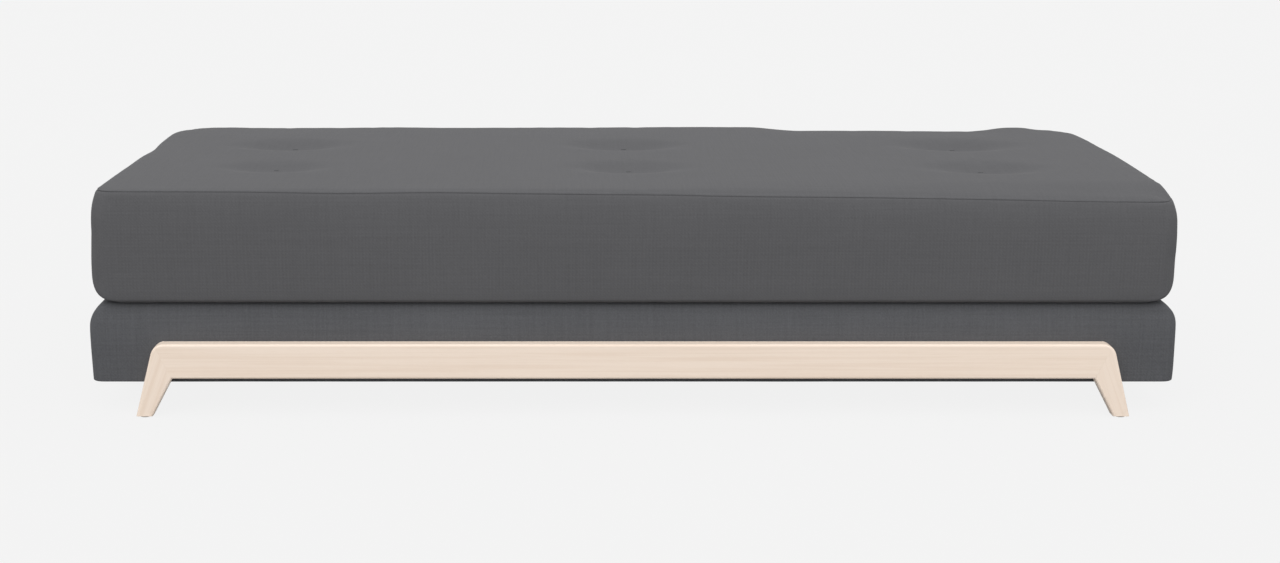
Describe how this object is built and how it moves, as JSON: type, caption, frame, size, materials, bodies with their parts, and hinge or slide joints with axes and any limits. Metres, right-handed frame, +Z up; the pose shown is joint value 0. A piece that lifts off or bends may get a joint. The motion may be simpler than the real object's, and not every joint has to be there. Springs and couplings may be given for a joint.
{
  "type": "sofa bed",
  "caption": "Backless daybed with a tufted foam mattress that folds off its upholstered, slatted base on a rear cloth hinge to make a low double bed on splayed wood legs.",
  "frame": {"origin": "on the floor, under the middle of the object", "axes": "+X along the length, to the right as seen from the front; +Y towards the rear, where the mattress is hinged; +Z up"},
  "size_m": [2.018, 0.9066, 0.4203],
  "materials": {
    "grey_weave": "dark grey woven upholstery cloth",
    "grey_thread": "dark grey twine and webbing",
    "foam": "cream polyurethane foam",
    "felt": "pressed grey felt",
    "leg_wood": "pale ash, clear matt lacquer",
    "box_wood": "sanded birch plywood and beech",
    "black_plastic": "moulded black polypropylene",
    "dust_cloth": "black spun-bonded dust cloth",
    "zinc_steel": "bright zinc plated steel"
  },
  "bodies": {
    "base": {"base_cover": "grey_weave", "base_foam": "foam", "slats": "box_wood", "slat_caps": "black_plastic", "ledger_front": "box_wood", "ledger_rear": "box_wood", "box_board_front": "box_wood", "box_board_rear": "box_wood", "box_end_left": "box_wood", "box_end_right": "box_wood", "cross_rail_left": "box_wood", "cross_rail_right": "box_wood", "corner_blocks": "box_wood", "dust_cover": "dust_cloth", "front_rail": "leg_wood", "front_leg_left": "leg_wood", "front_leg_right": "leg_wood", "rear_rail": "leg_wood", "rear_leg_left": "leg_wood", "rear_leg_right": "leg_wood", "leg_tenons": "leg_wood", "frame_inserts": "zinc_steel", "frame_bolts": "zinc_steel", "frame_washers": "zinc_steel", "foot_glides": "felt", "fold_strip_lower": "grey_thread"},
    "mattress": {"mattress_cover": "grey_weave", "mattress_bottom_panel": "grey_weave", "mattress_core": "foam", "tuft_ties": "grey_thread", "tuft_washers": "felt", "fold_strip_upper": "grey_thread"}
  },
  "joints": [
    {"name": "mattress_fold", "type": "hinge", "parent": "base", "child": "mattress", "pos_m": [0, 0.44065, 0.21115], "axis": [-1, 0, 0], "range_deg": [0, 180]}
  ]
}
